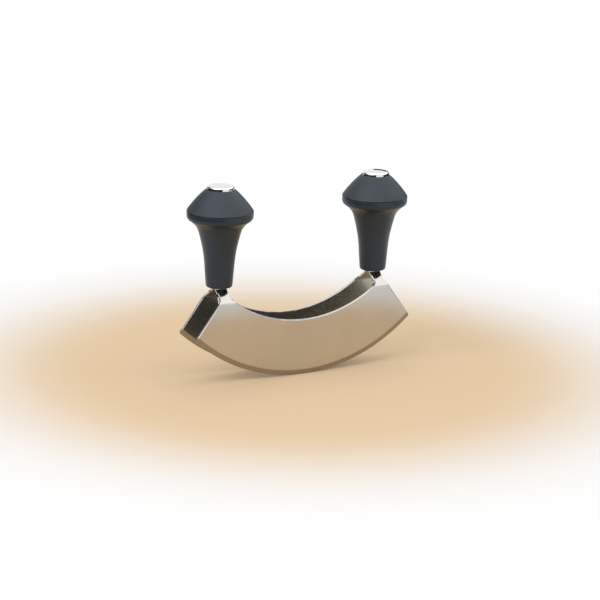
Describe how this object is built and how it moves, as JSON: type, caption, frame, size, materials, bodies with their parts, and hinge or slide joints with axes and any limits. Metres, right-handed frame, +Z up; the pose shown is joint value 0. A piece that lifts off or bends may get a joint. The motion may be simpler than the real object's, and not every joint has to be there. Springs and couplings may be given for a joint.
{
  "type": "mezzaluna",
  "caption": "Rocking herb chopper with parallel crescent blades of folded polished steel and upright black palm-knob handles with domed steel end caps.",
  "frame": {"origin": "on the floor under the middle of the tool, midway between the two blades, at the lowest points of the cutting edges", "axes": "+X along the blades towards the right handle, +Y from the front blade to the back blade, +Z up towards the palm knobs"},
  "size_m": [0.1552, 0.042, 0.1263],
  "materials": {
    "blade_steel": "polished stainless sheet with finely ground bevels",
    "handle_plastic": "black moulded plastic with a satin skin",
    "soft_touch": "black soft-touch moulding, matte",
    "cap_steel": "mirror-polished steel",
    "fastener_steel": "plain steel, hidden in the handle"
  },
  "bodies": {
    "root": {"front_blade": "blade_steel", "back_blade": "blade_steel", "left_stem": "handle_plastic", "left_palm_knob": "soft_touch", "left_end_cap": "cap_steel", "left_tie_rod": "fastener_steel", "left_tang_rivets": "fastener_steel", "left_washer": "fastener_steel", "left_nut": "fastener_steel", "right_stem": "handle_plastic", "right_palm_knob": "soft_touch", "right_end_cap": "cap_steel", "right_tie_rod": "fastener_steel", "right_tang_rivets": "fastener_steel", "right_washer": "fastener_steel", "right_nut": "fastener_steel"}
  },
  "joints": []
}
